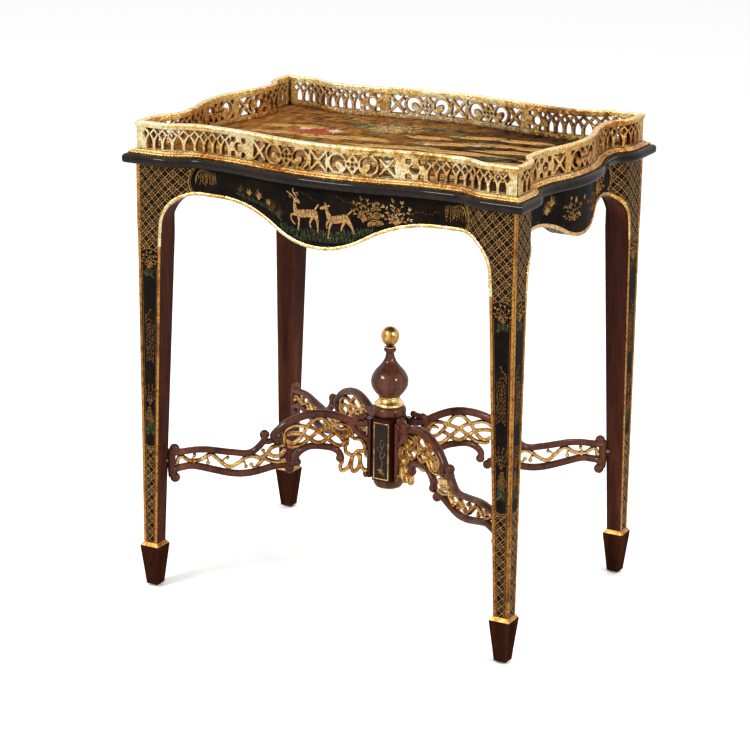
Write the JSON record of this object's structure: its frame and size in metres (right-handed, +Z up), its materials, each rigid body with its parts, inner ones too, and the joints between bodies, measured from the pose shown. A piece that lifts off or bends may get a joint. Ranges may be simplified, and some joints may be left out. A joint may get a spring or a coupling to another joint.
{
  "type": "side table",
  "caption": "Chinoiserie side table with a serpentine lacquered top, pierced gilt gallery, tapered legs on spade feet and a carved cross stretcher with a turned finial.",
  "frame": {"origin": "on the floor, under the middle of the table", "axes": "+X along the long side, +Y to the back (the front looks towards -Y), +Z up"},
  "size_m": [0.634, 0.4648, 0.71],
  "materials": {
    "black_lacquer": "black-brown lacquer with gilt chinoiserie, fine crackle, glossy",
    "decorated_lacquer": "black-brown lacquer with gilt borders, lattice and foliage, glossy",
    "gilding": "antiqued gold leaf over red bole on carved wood",
    "mahogany": "dark reddish mahogany, polished",
    "secondary_wood": "plain unfinished hardwood",
    "screw_steel": "plain steel",
    "glide_plastic": "pale smooth plastic"
  },
  "bodies": {
    "root": {"top_board": "black_lacquer", "step_moulding_front": "gilding", "gallery_front": "gilding", "apron_front": "decorated_lacquer", "step_moulding_right": "gilding", "gallery_right": "gilding", "apron_right": "decorated_lacquer", "step_moulding_back": "gilding", "gallery_back": "gilding", "apron_back": "decorated_lacquer", "step_moulding_left": "gilding", "gallery_left": "gilding", "apron_left": "decorated_lacquer", "leg_front_left": "decorated_lacquer", "spade_foot_front_left": "mahogany", "corner_block_front_left": "secondary_wood", "stretcher_arm_front_left": "mahogany", "leg_front_right": "decorated_lacquer", "spade_foot_front_right": "mahogany", "corner_block_front_right": "secondary_wood", "stretcher_arm_front_right": "mahogany", "leg_back_right": "decorated_lacquer", "spade_foot_back_right": "mahogany", "corner_block_back_right": "secondary_wood", "stretcher_arm_back_right": "mahogany", "leg_back_left": "decorated_lacquer", "spade_foot_back_left": "mahogany", "corner_block_back_left": "secondary_wood", "stretcher_arm_back_left": "mahogany", "glides": "glide_plastic", "top_screws": "screw_steel", "stretcher_dowels": "secondary_wood", "stretcher_post": "mahogany", "finial": "mahogany"}
  },
  "joints": []
}
